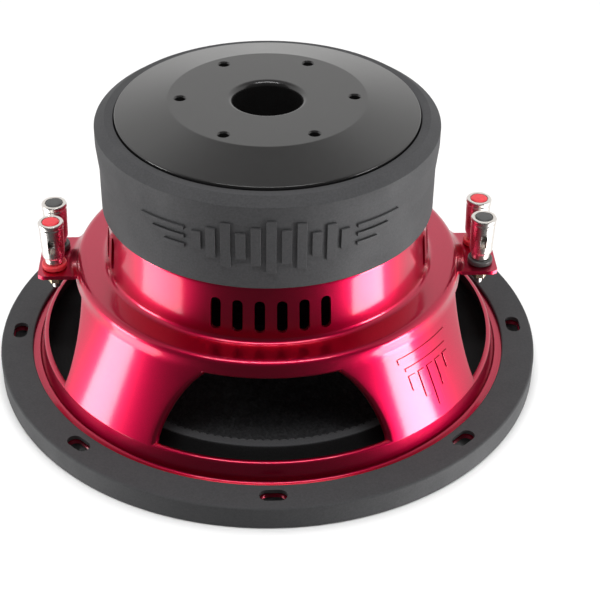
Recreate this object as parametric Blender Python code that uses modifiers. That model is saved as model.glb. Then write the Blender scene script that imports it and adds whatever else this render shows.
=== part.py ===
"""A 10-inch car subwoofer driver, lying on its front face with the magnet up.

Metres. The origin is the centre of the gasket's front face, +Z runs to the magnet,
-Y is the near side, and the two pairs of push terminals stand at +X and -X.
"""
import math

import bmesh
import bpy
from mathutils import Matrix

# Drafting
GAP = 0.0003                 # between pieces that touch
LARGE_STEPS = 32             # facets of the large turned pieces
SPIDER_STEPS = 24
SMALL_STEPS = 10             # facets of screws and terminals
MERGE = 0.00002

# Rim: gasket, mounting slots and the basket's flange
RIM_RADIUS = 0.131
RIM_HEIGHT = 0.0111
RIM_INNER = 0.1155
GASKET_LIP = 0.114
FLANGE_RADIUS = 0.128
FLANGE_TOP = 0.0088
BOLT_RADIUS = 0.1222
BOLT_COUNT = 8
GASKET_SLOT = (0.0124, 0.0068)    # length and width
FLANGE_SLOT = (0.0106, 0.0060)

# Basket
SHEET = 0.0016
SKIRT_FOOT = (0.1095, 0.017)      # radius and height of the skirt's lower end
SHOULDER_TOP = 0.0585
THROAT_FOOT = 0.0765
THROAT_HEAD = 0.0744
BASKET_TOP = 0.0868
BASKET_BORE = 0.040
WINDOW_SILL_HALF = 0.0499
WINDOW_HEAD_HALF = 0.026
WINDOW_HEAD = 0.052
VENT_GROUPS = 4
VENTS_PER_GROUP = 6
VENT_PITCH = math.radians(7.4)
VENT_SIZE = (0.016, 0.0046)
VENT_HEIGHT = 0.0715

# Motor, from the basket's top flange to the back of the driver
STEEL_RADIUS = 0.069
TOP_PLATE_THICKNESS = 0.008
TOP_PLATE_BORE = 0.029
MAGNET_THICKNESS = 0.0155
MAGNET_BORE = 0.0375
TOP_PLATE_FOOT = BASKET_TOP + GAP
MAGNET_FEET = [TOP_PLATE_FOOT + TOP_PLATE_THICKNESS + GAP,
               TOP_PLATE_FOOT + TOP_PLATE_THICKNESS + MAGNET_THICKNESS + 2 * GAP]
YOKE_FOOT = MAGNET_FEET[1] + MAGNET_THICKNESS + GAP
YOKE_EDGE = 0.1327
YOKE_TOP = 0.1384
YOKE_FLAT = 0.0449
POLE_RADIUS = 0.0248
POLE_FOOT = 0.084
VENT_BORE = 0.0155
YOKE_HOLE_CIRCLE = 0.0391
YOKE_HOLE_RADIUS = 0.0023
BOOT_FOOT = 0.0873
BOOT_TOP = 0.1315
BOOT_INNER = 0.06945
BOOT_LIP = 0.0781
BOOT_SIDE = 0.0769
FRAME_SCREW_CIRCLE = 0.052
SCREW_RADIUS = 0.0025
SCREW_CLEARANCE = 0.003

# Moving assembly
COIL_FORMER = (0.0256, 0.0261)    # inner and outer radius
WINDING = 0.0007
COIL_HEIGHT = 0.026
COIL_CENTRE = 0.0911
CONE_SHEET = 0.001
CONE_NECK = (COIL_FORMER[1] + GAP + CONE_SHEET, 0.0455)
CONE_EDGE = 0.092
DUST_CAP_RADIUS = 0.046
DUST_CAP_APEX = 0.0195
SPIDER_MIDDLE = 0.0541
SPIDER_WAVE = 0.0016
SPIDER_WAVES = 3
SPIDER_EDGE = 0.087

# Push terminals
TERMINAL_X = 0.101
TERMINAL_Y = 0.0084
TAB_OUTER = 0.1085
TAB_HALF = 0.017
TAB_TOP = 0.0545
TAB_THICKNESS = 0.002
POST_RADIUS = 0.0043
STUD_RADIUS = 0.0019
SLEEVE_RADIUS = 0.0060
SLEEVE_BORE = 0.0047
SLEEVE_FOOT = 0.0608
SLEEVE_TOP = 0.0795
WIRE_HOLE_HEIGHT = 0.0656
LEAD_RADIUS = 0.0009

RED_PAINT = ((0.55, 0.0, 0.035), 0.25, 0.8)
BLACK_PAINT = ((0.03, 0.03, 0.032), 0.25, 0.3)
RUBBER = ((0.045, 0.045, 0.048), 0.8, 0.0)
FOAM = ((0.012, 0.012, 0.012), 0.95, 0.0)
PAPER = ((0.02, 0.02, 0.02), 0.9, 0.0)
CLOTH = ((0.35, 0.25, 0.1), 0.9, 0.0)
STEEL = ((0.45, 0.45, 0.45), 0.4, 1.0)
NICKEL = ((0.8, 0.77, 0.74), 0.2, 1.0)
FERRITE = ((0.04, 0.04, 0.045), 0.6, 0.1)
COPPER = ((0.6, 0.25, 0.1), 0.35, 1.0)
ALUMINIUM = ((0.7, 0.7, 0.7), 0.35, 1.0)
PLASTIC = {"red": ((0.8, 0.03, 0.05), 0.4, 0.0), "black": ((0.05, 0.05, 0.05), 0.4, 0.0)}


def clear_scene():
    for obj in list(bpy.data.objects):
        bpy.data.objects.remove(obj, do_unlink=True)


def collection(name):
    group = bpy.data.collections.new(name)
    bpy.context.scene.collection.children.link(group)
    return group


def finish_material(name, look):
    colour, roughness, metallic = look
    material = bpy.data.materials.new(name)
    material.use_nodes = True
    shader = material.node_tree.nodes["Principled BSDF"]
    shader.inputs["Base Color"].default_value = (*colour, 1.0)
    shader.inputs["Roughness"].default_value = roughness
    shader.inputs["Metallic"].default_value = metallic
    return material


def place_node(name, data, look, location=(0.0, 0.0, 0.0), turn=0.0):
    """Put one piece of the driver in its collection, turned about Z and then moved."""
    obj = bpy.data.objects.new(name, data)
    obj.location = location
    obj.rotation_euler.z = turn
    data.materials.append(finish_material(name, look))
    PARTS.objects.link(obj)
    return obj


# Shapes ---------------------------------------------------------------------------

def around(count, first=0.0):
    """Angles of count places spaced evenly round the Z axis."""
    return [first + 2 * math.pi * i / count for i in range(count)]


def on_circle(radius, angle, height=0.0):
    return (radius * math.cos(angle), radius * math.sin(angle), height)


def circle(radius, steps):
    return [(radius * math.cos(a), radius * math.sin(a)) for a in around(steps)]


def capsule(length, width, end_steps=3):
    """Outline of a slot with round ends, long in X."""
    reach = (length - width) / 2
    points = []
    for side, start in ((1, -math.pi / 2), (-1, math.pi / 2)):
        for i in range(end_steps + 1):
            angle = start + math.pi * i / end_steps
            points.append((side * reach + width / 2 * math.cos(angle), width / 2 * math.sin(angle)))
    return points


def quadratic(start, control, end, steps):
    """Points of a curve from start to end, start left out."""
    points = []
    for i in range(1, steps + 1):
        t = i / steps
        weights = ((1 - t) ** 2, 2 * t * (1 - t), t ** 2)
        points.append(tuple(sum(w * p[k] for w, p in zip(weights, (start, control, end)))
                            for k in range(2)))
    return points


def closed_sheet(line, thickness):
    """Closed profile of a sheet. The line is its outer side, walked top to bottom."""
    inner = []
    for i, point in enumerate(line):
        before = line[max(i - 1, 0)]
        after = line[min(i + 1, len(line) - 1)]
        normals = []
        for a, b in ((before, point), (point, after)):
            length = math.dist(a, b)
            if length > 0:
                normals.append(((b[1] - a[1]) / length, -(b[0] - a[0]) / length))
        first, last = normals[0], normals[-1]
        mitre = thickness / (1 + first[0] * last[0] + first[1] * last[1])
        inner.append((point[0] + mitre * (first[0] + last[0]), point[1] + mitre * (first[1] + last[1])))
    return line + inner[::-1]


def profile_mesh(name, profile, closed=True):
    mesh = bpy.data.meshes.new(name)
    count = len(profile)
    edges = [(i, (i + 1) % count) for i in range(count if closed else count - 1)]
    mesh.from_pydata([(r, 0.0, z) for r, z in profile], edges, [])
    return mesh


def add_screw(obj, steps):
    screw = obj.modifiers.new("turn", "SCREW")
    screw.steps = screw.render_steps = steps
    screw.use_merge_vertices = True
    screw.merge_threshold = MERGE
    screw.use_smooth_shade = True


def turned(name, profile, look, steps=LARGE_STEPS, closed=True, location=(0.0, 0.0, 0.0)):
    """Turn a profile of (radius, height) points, its outer side walked top to bottom."""
    obj = place_node(name, profile_mesh(name, profile, closed), look, location)
    add_screw(obj, steps)
    return obj


def ring_profile(outer, inner, foot, top):
    return [(outer, top), (outer, foot), (inner, foot), (inner, top)]


def baked(obj):
    """Mesh of a temporary object as its modifiers leave it. The object is removed."""
    bpy.context.view_layer.update()
    mesh = bpy.data.meshes.new_from_object(obj.evaluated_get(bpy.context.evaluated_depsgraph_get()))
    mesh.transform(obj.matrix_world)
    welded = bmesh.new()
    welded.from_mesh(mesh)
    bmesh.ops.remove_doubles(welded, verts=welded.verts, dist=MERGE)
    bmesh.ops.recalc_face_normals(welded, faces=welded.faces)
    welded.to_mesh(mesh)
    welded.free()
    bpy.data.objects.remove(obj, do_unlink=True)
    return mesh


def prism(outlines, foot, top):
    """Flat outline, the first one outer and the rest holes, from foot to top in Z."""
    curve = bpy.data.curves.new("outline", "CURVE")
    curve.dimensions = "2D"
    curve.fill_mode = "BOTH"
    curve.extrude = (top - foot) / 2
    for outline in outlines:
        spline = curve.splines.new("POLY")
        spline.points.add(len(outline) - 1)
        spline.use_cyclic_u = True
        for point, (x, y) in zip(spline.points, outline):
            point.co = (x, y, 0.0, 1.0)
    obj = bpy.data.objects.new("outline", curve)
    obj.location.z = (foot + top) / 2
    PARTS.objects.link(obj)
    return baked(obj)


def turned_mesh(profile, steps, closed=True):
    obj = bpy.data.objects.new("turned", profile_mesh("turned", profile, closed))
    add_screw(obj, steps)
    PARTS.objects.link(obj)
    return baked(obj)


def copies(name, mesh, places):
    """One mesh that holds a copy of the given one at each place."""
    joined = bmesh.new()
    for place in places:
        copy = mesh.copy()
        copy.transform(place)
        joined.from_mesh(copy)
        bpy.data.meshes.remove(copy)
    result = bpy.data.meshes.new(name)
    joined.to_mesh(result)
    joined.free()
    return result


def combine(target, mesh, operation="DIFFERENCE", location=(0.0, 0.0, 0.0)):
    """Cut the mesh out of a piece, or join it on. The mesh object is kept out of sight."""
    tool = bpy.data.objects.new(f"{target.name}_{mesh.name}", mesh)
    tool.location = location
    tool.hide_render = True
    tool.display_type = "WIRE"
    CUTTERS.objects.link(tool)
    boolean = target.modifiers.new(mesh.name, "BOOLEAN")
    boolean.operation = operation
    boolean.solver = "EXACT"
    boolean.object = tool


def turned_to(angle, location):
    """Place at a location, turned about Z so that its X axis points along the angle."""
    return Matrix.Translation(location) @ Matrix.Rotation(angle, 4, "Z")


# Basket and rim -------------------------------------------------------------------

def basket_line():
    foot_r, foot_z = SKIRT_FOOT
    return [(BASKET_BORE, BASKET_TOP), (THROAT_HEAD - 0.0026, BASKET_TOP), (THROAT_HEAD, BASKET_TOP - 0.002),
            (THROAT_FOOT, SHOULDER_TOP + 0.0022), (THROAT_FOOT + 0.0022, SHOULDER_TOP),
            (0.0882, SHOULDER_TOP - 0.0002), (0.0905, 0.0564), (0.0915, 0.052),
            (foot_r, foot_z), (0.1103, 0.0158), (0.1114, 0.0102), (0.1128, FLANGE_TOP),
            (FLANGE_RADIUS, FLANGE_TOP)]


def window_outline():
    """A window as seen from its side: flat sill, bowed sides, rounded upper corners."""
    corner = (WINDOW_HEAD_HALF + 0.0055, WINDOW_HEAD - 0.0035)
    sill = (WINDOW_SILL_HALF, SKIRT_FOOT[1])
    half = [sill]
    half += quadratic(sill, (0.046, 0.036), corner, 5)
    half += quadratic(corner, (WINDOW_HEAD_HALF + 0.004, WINDOW_HEAD), (WINDOW_HEAD_HALF, WINDOW_HEAD), 3)
    return half + [(-x, z) for x, z in reversed(half)]


def tab_outline():
    """A terminal tab seen from above, its root inside the skirt's sheet."""
    root, corner = 0.0897, 0.0025
    return [(root, -TAB_HALF), (TAB_OUTER - corner, -TAB_HALF), (TAB_OUTER, corner - TAB_HALF),
            (TAB_OUTER, TAB_HALF - corner), (TAB_OUTER - corner, TAB_HALF), (root, TAB_HALF)]


def build_basket():
    basket = turned("basket", closed_sheet(basket_line(), SHEET), RED_PAINT)

    tab = prism([tab_outline()], TAB_TOP - TAB_THICKNESS, TAB_TOP)
    combine(basket, copies("tabs", tab, [Matrix.Rotation(a, 4, "Z") for a in around(2)]), "UNION")

    window = prism([window_outline()], -RIM_RADIUS, RIM_RADIUS)
    upright = Matrix.Rotation(math.pi / 2, 4, "X")
    for name, angle in (("windows_y", 0.0), ("windows_x", math.pi / 2)):
        combine(basket, copies(name, window, [Matrix.Rotation(angle, 4, "Z") @ upright]))

    vent = prism([capsule(*VENT_SIZE)], 0.070, 0.080)
    outward = Matrix.Rotation(math.pi / 2, 4, "Y")
    places = [Matrix.Translation((0.0, 0.0, VENT_HEIGHT))
              @ Matrix.Rotation(group + (i - (VENTS_PER_GROUP - 1) / 2) * VENT_PITCH, 4, "Z") @ outward
              for group in around(VENT_GROUPS) for i in range(VENTS_PER_GROUP)]
    combine(basket, copies("vents", vent, places))

    slot = prism([capsule(*FLANGE_SLOT)], 0.006, 0.010)
    combine(basket, copies("slots", slot, rim_places()))

    hole = prism([circle(SCREW_CLEARANCE, SMALL_STEPS)], 0.084, 0.088)
    combine(basket, copies("screw_holes", hole, screw_places()))

    hole = prism([circle(SCREW_CLEARANCE, SMALL_STEPS)], 0.0515, 0.0555)
    places = [Matrix.Translation((x, y, 0.0)) for _, x, y, _, _ in TERMINALS]
    combine(basket, copies("terminal_holes", hole, places))


def rim_places():
    """Mounting slots, long round the rim."""
    return [turned_to(angle + math.pi / 2, on_circle(BOLT_RADIUS, angle))
            for angle in around(BOLT_COUNT, math.pi / 2)]


def screw_places():
    return [Matrix.Translation(on_circle(FRAME_SCREW_CIRCLE, a)) for a in around(6, math.pi / 6)]


def build_gasket():
    edge = 0.0009
    profile = [(RIM_RADIUS - edge, RIM_HEIGHT), (RIM_RADIUS, RIM_HEIGHT - edge), (RIM_RADIUS, 0.0),
               (GASKET_LIP, 0.0), (GASKET_LIP, 0.0053), (0.1184, 0.0053), (0.1184, 0.0069),
               (FLANGE_RADIUS + GAP, 0.0069), (FLANGE_RADIUS + GAP, FLANGE_TOP + GAP),
               (RIM_INNER, FLANGE_TOP + GAP), (RIM_INNER, RIM_HEIGHT - edge / 2),
               (RIM_INNER + edge / 2, RIM_HEIGHT)]
    gasket = turned("gasket", profile, RUBBER)
    slot = prism([capsule(*GASKET_SLOT)], -0.002, 0.014)
    combine(gasket, copies("slots", slot, rim_places()))


# Motor ----------------------------------------------------------------------------

def build_motor():
    plate_top = TOP_PLATE_FOOT + TOP_PLATE_THICKNESS
    plate = turned("top_plate", ring_profile(STEEL_RADIUS, TOP_PLATE_BORE, TOP_PLATE_FOOT, plate_top), STEEL)
    hole = prism([circle(SCREW_CLEARANCE, SMALL_STEPS)], TOP_PLATE_FOOT - 0.002, plate_top + 0.002)
    combine(plate, copies("screw_holes", hole, screw_places()))

    for name, foot in zip(("magnet_front", "magnet_rear"), MAGNET_FEET):
        turned(name, ring_profile(STEEL_RADIUS, MAGNET_BORE, foot, foot + MAGNET_THICKNESS), FERRITE)

    flare = 0.002
    yoke = turned("back_plate", [
        (VENT_BORE + flare, YOKE_TOP), (YOKE_FLAT, YOKE_TOP), (STEEL_RADIUS - 0.0006, YOKE_EDGE + 0.0001),
        (STEEL_RADIUS, YOKE_EDGE - 0.0006), (STEEL_RADIUS, YOKE_FOOT), (POLE_RADIUS, YOKE_FOOT),
        (POLE_RADIUS, POLE_FOOT), (VENT_BORE + flare, POLE_FOOT), (VENT_BORE, POLE_FOOT + 3 * flare),
        (VENT_BORE, YOKE_TOP - flare), (VENT_BORE + 0.0006, YOKE_TOP - 0.0006)], BLACK_PAINT)
    hole = turned_mesh([(0.0, YOKE_TOP + 0.001), (YOKE_HOLE_RADIUS + 0.0017, YOKE_TOP + 0.001),
                        (YOKE_HOLE_RADIUS, YOKE_TOP - 0.0007), (YOKE_HOLE_RADIUS, YOKE_TOP - 0.007),
                        (0.0, YOKE_TOP - 0.0085)], SMALL_STEPS, closed=False)
    places = [Matrix.Translation(on_circle(YOKE_HOLE_CIRCLE, a)) for a in around(6)]
    combine(yoke, copies("holes", hole, places))

    turned("boot", [(0.0736, BOOT_TOP), (BOOT_LIP, 0.1283), (BOOT_LIP, 0.1206), (BOOT_SIDE, 0.1085),
                    (BOOT_SIDE, BOOT_FOOT + 0.0010), (BOOT_SIDE - 0.0008, BOOT_FOOT),
                    (BOOT_INNER, BOOT_FOOT), (BOOT_INNER, BOOT_TOP)], RUBBER)


def build_frame_screws():
    """Pan-head screws, put in from inside the basket, that hold the motor to it."""
    seat = BASKET_TOP - SHEET - GAP
    profile = [(0.0, seat + 0.0085), (SCREW_RADIUS, seat + 0.0085), (SCREW_RADIUS, seat),
               (0.0044, seat), (0.0044, seat - 0.0022), (0.0032, seat - 0.0031), (0.0, seat - 0.0034)]
    for number, place in enumerate(screw_places(), start=1):
        turned(f"frame_screw_{number}", profile, STEEL, SMALL_STEPS, closed=False,
               location=place.to_translation())


# Moving assembly ------------------------------------------------------------------

def build_moving_assembly():
    inner, outer = COIL_FORMER
    turned("coil_former", ring_profile(outer, inner, 0.0435, 0.1062), ALUMINIUM)
    foot, top = COIL_CENTRE - COIL_HEIGHT / 2, COIL_CENTRE + COIL_HEIGHT / 2
    for name in ("coil_winding_inner", "coil_winding_outer"):
        inner = outer + GAP
        outer = inner + WINDING
        turned(name, ring_profile(outer, inner, foot, top), COPPER)

    neck_r, neck_z = CONE_NECK
    line = [(neck_r, neck_z + 0.003), (neck_r, neck_z), (0.029, neck_z - 0.0024),
            (0.058, 0.0291), (0.0855, 0.0121), (CONE_EDGE, 0.0119)]
    turned("cone", closed_sheet(line, CONE_SHEET), PAPER)

    rim = (DUST_CAP_RADIUS, 0.0334)
    dome = [(DUST_CAP_RADIUS * math.cos(a), rim[1] - (rim[1] - DUST_CAP_APEX) * math.sin(a))
            for a in (math.pi / 2 * i / 4 for i in range(5))]
    shell = [(0.0, DUST_CAP_APEX + CONE_SHEET)]
    shell += [(r - CONE_SHEET * 0.8, z + CONE_SHEET * 0.7) for r, z in reversed(dome[:-1])]
    turned("dust_cap", shell + dome[:-1] + [(0.0, DUST_CAP_APEX)], PAPER, closed=False)


def build_suspension():
    line = [(0.0868, 0.0134), (0.0930, 0.0132), (0.0944, 0.0090), (0.0970, 0.0042), (0.1025, 0.0022),
            (0.1080, 0.0042), (0.1112, 0.0069), (0.1180, 0.0069)]
    surround = closed_sheet(line, 0.0012)
    turned("surround", surround, FOAM)

    neck = CONE_NECK[0] + GAP
    first, last = 0.031, 0.0795
    crests = 2 * SPIDER_WAVES
    wave = [(first + (last - first) * i / crests, SPIDER_MIDDLE + SPIDER_WAVE * (-1) ** i)
            for i in range(crests + 1)]
    seat = SHOULDER_TOP - SHEET - 0.0002 - GAP
    line = [(neck - 0.0007, SPIDER_MIDDLE + 0.0022), (neck, SPIDER_MIDDLE)] + wave
    line += [(0.0808, seat), (SPIDER_EDGE, seat)]
    turned("spider", closed_sheet(line, 0.0007), CLOTH, SPIDER_STEPS)


# Push terminals -------------------------------------------------------------------

def slot_across(size, height, angle=0.0):
    """Cutter for a slot that runs through a terminal from its near side to its far side."""
    mesh = prism([capsule(*size)], -2 * SLEEVE_RADIUS, 2 * SLEEVE_RADIUS)
    stand = Matrix.Rotation(math.pi / 2, 4, "X") @ Matrix.Rotation(angle, 4, "Z")
    return copies("wire_slot", mesh, [Matrix.Translation((0.0, 0.0, height)) @ stand])


def spring_curve(name, foot, top, radius=0.0036, turns=3, per_turn=6):
    curve = bpy.data.curves.new(name, "CURVE")
    curve.dimensions = "3D"
    curve.bevel_depth = 0.0003
    curve.bevel_resolution = 0
    curve.use_fill_caps = True
    spline = curve.splines.new("POLY")
    count = turns * per_turn
    spline.points.add(count)
    for i, point in enumerate(spline.points):
        x, y, _ = on_circle(radius, 2 * math.pi * i / per_turn)
        point.co = (x, y, foot + (top - foot) * i / count, 1.0)
    return curve


def lug_outlines(side):
    """A ring lug whose tongue points towards the driver's axis."""
    tongue, half = -side * 0.0095, 0.0016
    ring = [(0.0036 * math.cos(a), 0.0036 * math.sin(a))
            for a in (math.radians(30 + 300 * i / 8) for i in range(9))]
    outline = [(-side * x, y) for x, y in ring] + [(tongue, -half), (tongue, half)]
    return [outline, circle(STUD_RADIUS + GAP, SMALL_STEPS)]


def build_terminal(label, x, y, side, colour):
    name = f"terminal_{label}"
    collar_foot = TAB_TOP + GAP
    collar_top = collar_foot + 0.0025
    post_top = 0.0677
    bore = STUD_RADIUS + GAP

    def fitted(part, profile, look, closed=True):
        return turned(f"{name}_{part}", profile, look, SMALL_STEPS, closed, (x, y, 0.0))

    fitted("collar", [(0.0057, collar_top), (0.0059, collar_foot), (0.0027, collar_foot), (0.0027, 0.0530),
                      (bore, 0.0530), (bore, collar_top)], PLASTIC[colour])
    washer_top = TAB_TOP - TAB_THICKNESS - GAP
    fitted("washer", ring_profile(0.0054, bore, washer_top - 0.0015, washer_top), PLASTIC[colour])

    post = fitted("post", [(0.0, post_top), (POST_RADIUS - 0.0004, post_top), (POST_RADIUS, post_top - 0.0004),
                           (POST_RADIUS, collar_top + GAP), (STUD_RADIUS, collar_top + GAP),
                           (STUD_RADIUS, 0.0435), (0.0, 0.0435)], NICKEL, closed=False)
    combine(post, slot_across((0.0026, 0.0025), WIRE_HOLE_HEIGHT), location=(x, y, 0.0))

    ceiling = SLEEVE_TOP - 0.0024
    sleeve = fitted("sleeve", [(0.0042, SLEEVE_TOP), (SLEEVE_RADIUS - 0.0003, SLEEVE_TOP),
                               (SLEEVE_RADIUS, SLEEVE_TOP - 0.0014), (0.0056, SLEEVE_TOP - 0.0018),
                               (0.0056, SLEEVE_TOP - 0.0024), (0.0058, SLEEVE_TOP - 0.0029),
                               (0.0053, SLEEVE_FOOT + 0.0010), (0.0050, SLEEVE_FOOT),
                               (SLEEVE_BORE, SLEEVE_FOOT), (SLEEVE_BORE, ceiling), (0.0, ceiling),
                               (0.0, ceiling + 0.0012), (0.0042, ceiling + 0.0012)],
                    NICKEL)
    combine(sleeve, slot_across((0.0078, 0.003), 0.0684, math.pi / 2), location=(x, y, 0.0))

    insert_foot = ceiling + 0.0012 + GAP
    fitted("insert", [(0.0, insert_foot + 0.0013), (0.0032, insert_foot + 0.0012),
                      (0.0039, insert_foot + 0.0009), (0.0039, insert_foot), (0.0, insert_foot)],
           PLASTIC[colour], closed=False)
    place_node(f"{name}_spring", spring_curve(f"{name}_spring", post_top + 0.0007, ceiling - 0.0007),
               STEEL, (x, y, 0.0))

    lug_top = washer_top - 0.0015 - GAP
    place_node(f"{name}_lug", prism(lug_outlines(side), lug_top - 0.0008, lug_top), NICKEL, (x, y, 0.0))
    nut_top = lug_top - 0.0008 - GAP
    place_node(f"{name}_nut", prism([circle(0.004, 6), circle(bore, SMALL_STEPS)], nut_top - 0.0025, nut_top),
               NICKEL, (x, y, 0.0))
    build_lead(label, y, side, lug_top - 0.0008 - GAP - LEAD_RADIUS)


def build_lead(label, y, side, start):
    """Limp braided lead from a lug, in through the window, to the rear of the cone."""
    route = [(0.0945, 1.0, start), (0.089, 1.0, start - 0.0002), (0.083, 1.0, start - 0.0012),
             (0.076, 0.98, start - 0.0032), (0.068, 0.95, start - 0.0052), (0.060, 0.92, 0.0424),
             (0.052, 0.87, 0.0416), (0.045, 0.8, 0.0415), (0.0395, 0.73, 0.0419), (0.0355, 0.68, 0.0426)]
    curve = bpy.data.curves.new(f"lead_{label}", "CURVE")
    curve.dimensions = "3D"
    curve.bevel_depth = LEAD_RADIUS
    curve.bevel_resolution = 1
    curve.use_fill_caps = True
    spline = curve.splines.new("POLY")
    spline.points.add(len(route) - 1)
    for point, (x, share, z) in zip(spline.points, route):
        point.co = (side * x, y * share, z, 1.0)
    place_node(f"lead_{label}", curve, COPPER)


# Label, place and polarity colour of each terminal. The side is the sign of X.
TERMINALS = [(f"{side_name}_{end_name}", side * TERMINAL_X, end * TERMINAL_Y, side, colour)
             for side_name, side, end_name, end, colour in (
                 ("left", -1, "front", -1, "red"), ("left", -1, "rear", 1, "black"),
                 ("right", 1, "front", -1, "black"), ("right", 1, "rear", 1, "red"))]

clear_scene()
PARTS = collection("subwoofer_driver")
CUTTERS = collection("cutters")
build_basket()
build_gasket()
build_motor()
build_frame_screws()
build_moving_assembly()
build_suspension()
for terminal in TERMINALS:
    build_terminal(*terminal)
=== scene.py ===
"""Looks of a 10-inch car subwoofer driver that lies on its front face, magnet up."""
import math

import bmesh
import bpy
import numpy as np
from mathutils import Matrix, Vector


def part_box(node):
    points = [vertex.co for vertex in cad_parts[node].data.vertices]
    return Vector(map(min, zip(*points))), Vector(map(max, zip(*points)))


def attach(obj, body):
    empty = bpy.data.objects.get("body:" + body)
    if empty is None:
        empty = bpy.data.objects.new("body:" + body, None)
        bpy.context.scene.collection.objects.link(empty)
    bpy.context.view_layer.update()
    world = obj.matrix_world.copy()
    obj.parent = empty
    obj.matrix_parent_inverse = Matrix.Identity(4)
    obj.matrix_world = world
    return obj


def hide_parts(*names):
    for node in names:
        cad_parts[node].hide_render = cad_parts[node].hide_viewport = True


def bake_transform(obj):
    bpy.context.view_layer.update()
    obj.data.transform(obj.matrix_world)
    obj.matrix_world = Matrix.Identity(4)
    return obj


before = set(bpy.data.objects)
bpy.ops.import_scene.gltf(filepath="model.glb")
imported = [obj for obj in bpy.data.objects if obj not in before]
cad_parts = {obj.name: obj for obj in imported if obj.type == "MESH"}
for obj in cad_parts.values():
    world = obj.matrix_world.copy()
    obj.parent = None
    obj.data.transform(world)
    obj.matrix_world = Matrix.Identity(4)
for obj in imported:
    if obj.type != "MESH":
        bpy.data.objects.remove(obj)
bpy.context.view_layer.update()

MM = 0.001
QUARTER = math.pi / 2
TURN = 2 * math.pi
CREASE = math.radians(40)      # edges sharper than this stay sharp


def top(node):
    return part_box(node)[1].z


def foot(node):
    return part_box(node)[0].z


def reach(node):
    """Outer radius of a turned node that stands on the driver's axis."""
    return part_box(node)[1].x


def ease(t):
    """Smooth step from 0 to 1."""
    return t * t * (3 - 2 * t)


# Camera, floor and light ----------------------------------------------------------

CAMERA_TARGET = Vector((0.0, 0.0, 0.0275))
CAMERA_DISTANCE = 0.7213
CAMERA_ELEVATION = math.radians(35.19)
CAMERA_SWING = math.radians(-1.2)
CAMERA_LENS = 88.2
CAMERA_SHIFT = 0.0543
FLOOR_OPENING = 0.120
FLOOR_REACH = 8.0
FLOOR_STEPS = 96
FLOOR_GAP = 0.3 * MM
LIGHT_AIM = 0.06
FRONT_GLOW, REAR_GLOW, OVERHEAD_SHARE = 0.07, 0.87, 0.30
# Name, azimuth and elevation in degrees, distance, size, power, shown in reflections
SOFTBOXES = [
    ("softbox_left", -79, 1, 0.55, (0.16, 0.17), 0.8, True),
    ("softbox_right", 66, -1, 0.55, (0.16, 0.16), 1.2, True),
    ("low_left", -74, -25, 0.55, (0.30, 0.34), 1.15, True),
    ("low_right", 67, -25, 0.55, (0.22, 0.34), 1.9, True),
    ("front_top", 0, 72, 1.2, (1.0, 0.16), 5.5, True),
    ("overhead", 0, 88, 3.2, (3.4, 3.4), 92.0, False)]


def add_camera():
    data = bpy.data.cameras.new("camera")
    data.lens = CAMERA_LENS
    data.shift_x = CAMERA_SHIFT
    data.clip_start, data.clip_end = 0.01, 100.0
    camera = bpy.data.objects.new("camera", data)
    away = Vector((math.sin(CAMERA_SWING) * math.cos(CAMERA_ELEVATION),
                   -math.cos(CAMERA_SWING) * math.cos(CAMERA_ELEVATION), math.sin(CAMERA_ELEVATION)))
    camera.location = CAMERA_TARGET + away * CAMERA_DISTANCE
    camera.rotation_euler = (-away).to_track_quat("-Z", "Y").to_euler()
    bpy.context.scene.collection.objects.link(camera)
    bpy.context.scene.camera = camera


def add_softbox(name, azimuth, elevation, distance, size, power, glossy):
    """Area light at an azimuth measured from the near side, aimed at the driver."""
    data = bpy.data.lights.new(name, "AREA")
    data.shape = "RECTANGLE"
    data.size, data.size_y = size
    data.energy = power
    light = bpy.data.objects.new(name, data)
    a, e = math.radians(azimuth), math.radians(elevation)
    away = Vector((math.sin(a) * math.cos(e), -math.cos(a) * math.cos(e), math.sin(e)))
    light.location = Vector((0.0, 0.0, LIGHT_AIM)) + away * distance
    light.rotation_euler = (-away).to_track_quat("-Z", "Y").to_euler()
    light.visible_glossy = glossy
    light.visible_camera = False
    bpy.context.scene.collection.objects.link(light)


def add_world():
    """A pale studio: bright behind and at the sides, darker overhead, and dark in front."""
    world = bpy.data.worlds.new("studio")
    bpy.context.scene.world = world
    world.use_nodes = True
    nodes, links = world.node_tree.nodes, world.node_tree.links
    coords = nodes.new("ShaderNodeTexCoord")
    split = nodes.new("ShaderNodeSeparateXYZ")
    links.new(coords.outputs["Generated"], split.inputs[0])

    def ramp(socket, low, high, at_low, at_high):
        node = nodes.new("ShaderNodeMapRange")
        node.interpolation_type = "SMOOTHSTEP"
        for name, value in zip(("From Min", "From Max", "To Min", "To Max"), (low, high, at_low, at_high)):
            node.inputs[name].default_value = value
        links.new(socket, node.inputs["Value"])
        return node.outputs["Result"]

    def value(number):
        node = nodes.new("ShaderNodeValue")
        node.outputs[0].default_value = number
        return node.outputs[0]

    def combine(operation, first, second):
        node = nodes.new("ShaderNodeMath")
        node.operation = operation
        links.new(first, node.inputs[0])
        links.new(second, node.inputs[1])
        return node.outputs[0]

    # The bearing runs from -1 on the near side to 1 behind, and Z from 0 at the horizon to 1 overhead.
    x, y, z = split.outputs
    level = combine("ADD", combine("MULTIPLY", x, x), combine("MULTIPLY", y, y))
    bearing = combine("DIVIDE", y, combine("POWER", level, value(0.5)))
    depth = ramp(bearing, -0.42, -0.12, FRONT_GLOW, REAR_GLOW)
    height = ramp(z, 0.62, 0.88, 1.0, OVERHEAD_SHARE)
    links.new(combine("MULTIPLY", depth, height), nodes["Background"].inputs["Strength"])
    nodes["Background"].inputs["Color"].default_value = (1.0, 0.995, 0.985, 1.0)


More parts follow.
